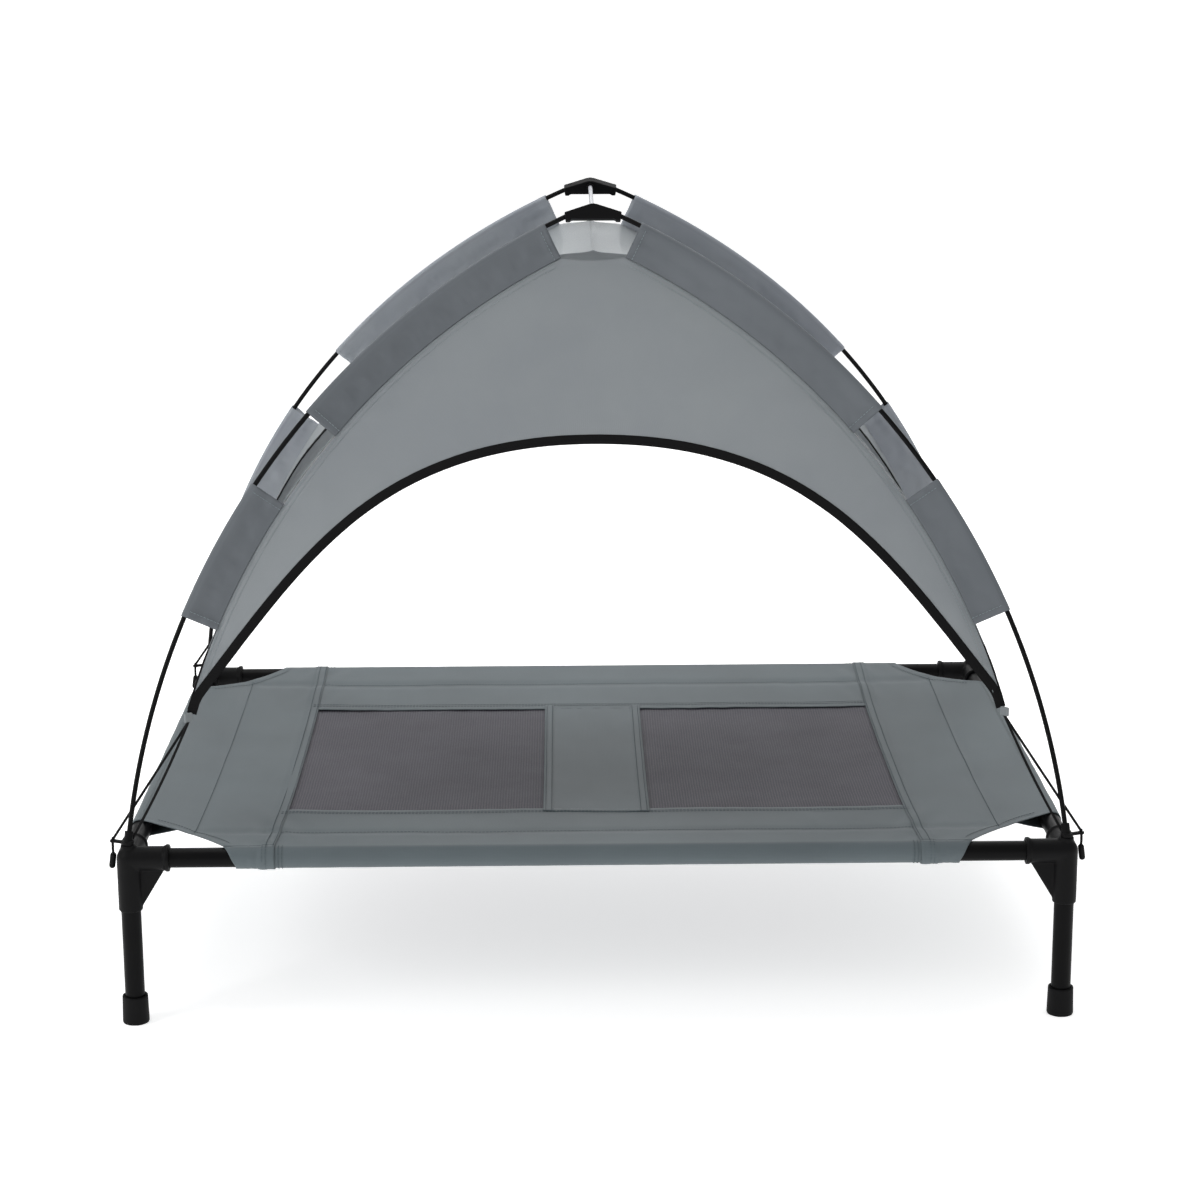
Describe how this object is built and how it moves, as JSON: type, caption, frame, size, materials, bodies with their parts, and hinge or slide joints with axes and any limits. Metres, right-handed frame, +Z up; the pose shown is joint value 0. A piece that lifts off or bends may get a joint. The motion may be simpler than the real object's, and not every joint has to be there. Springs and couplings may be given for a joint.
{
  "type": "raised dog bed",
  "caption": "Raised cot-style pet bed: stretched cloth with mesh windows on a tube frame, under a lift-off arched cloth sun canopy on flexible poles.",
  "frame": {"origin": "on the floor, under the middle of the bed", "axes": "+X along the bed's long side, +Y from the front of the bed to its rear, +Z up"},
  "size_m": [1.0864, 0.7706, 0.889],
  "materials": {
    "connector_plastic": "moulded nylon, fine satin texture",
    "steel_tube": "black powder coat",
    "foot_plastic": "soft moulded plastic",
    "pole_fibreglass": "pultruded fibreglass, satin",
    "rod_plastic": "light grey rod, satin",
    "bed_cloth": "plain-weave coated polyester, cool grey",
    "mesh": "open knitted mesh, dark grey",
    "canopy_cloth": "light plain-weave polyester, cool grey",
    "binding_tape": "ribbed black tape",
    "elastic_cord": "braided black elastic",
    "tab_webbing": "light grey woven tab"
  },
  "bodies": {
    "bed": {"connector_front_left": "connector_plastic", "leg_front_left": "steel_tube", "foot_front_left": "foot_plastic", "connector_front_right": "connector_plastic", "leg_front_right": "steel_tube", "foot_front_right": "foot_plastic", "connector_rear_left": "connector_plastic", "leg_rear_left": "steel_tube", "foot_rear_left": "foot_plastic", "connector_rear_right": "connector_plastic", "leg_rear_right": "steel_tube", "foot_rear_right": "foot_plastic", "long_rail_front": "steel_tube", "long_rail_rear": "steel_tube", "short_rail_left": "steel_tube", "short_rail_right": "steel_tube", "bed_border_front": "bed_cloth", "bed_border_rear": "bed_cloth", "bed_end_left": "bed_cloth", "bed_end_right": "bed_cloth", "bed_centre_strip": "bed_cloth", "mesh_left": "mesh", "mesh_right": "mesh"},
    "canopy": {"pole_front_left": "pole_fibreglass", "pole_foot_front_left": "connector_plastic", "sleeves_front_left": "canopy_cloth", "tether_front_left": "elastic_cord", "pole_front_right": "pole_fibreglass", "pole_foot_front_right": "connector_plastic", "sleeves_front_right": "canopy_cloth", "tether_front_right": "elastic_cord", "pole_rear_left": "pole_fibreglass", "pole_foot_rear_left": "connector_plastic", "sleeves_rear_left": "canopy_cloth", "tether_rear_left": "elastic_cord", "pole_rear_right": "pole_fibreglass", "pole_foot_rear_right": "connector_plastic", "sleeves_rear_right": "canopy_cloth", "tether_rear_right": "elastic_cord", "hub_front": "connector_plastic", "hub_rear": "connector_plastic", "ridge_rod": "rod_plastic", "rod_grommets": "foot_plastic", "panel_front": "canopy_cloth", "binding_front": "binding_tape", "panel_rear": "canopy_cloth", "binding_rear": "binding_tape", "panel_left": "canopy_cloth", "binding_left": "binding_tape", "panel_right": "canopy_cloth", "binding_right": "binding_tape", "tether_toggles": "connector_plastic", "corner_tabs": "tab_webbing"}
  },
  "joints": [
    {"name": "canopy_lift", "type": "slide", "parent": "bed", "child": "canopy", "axis": [0, 0, 1], "range_m": [0, 0.15]}
  ]
}
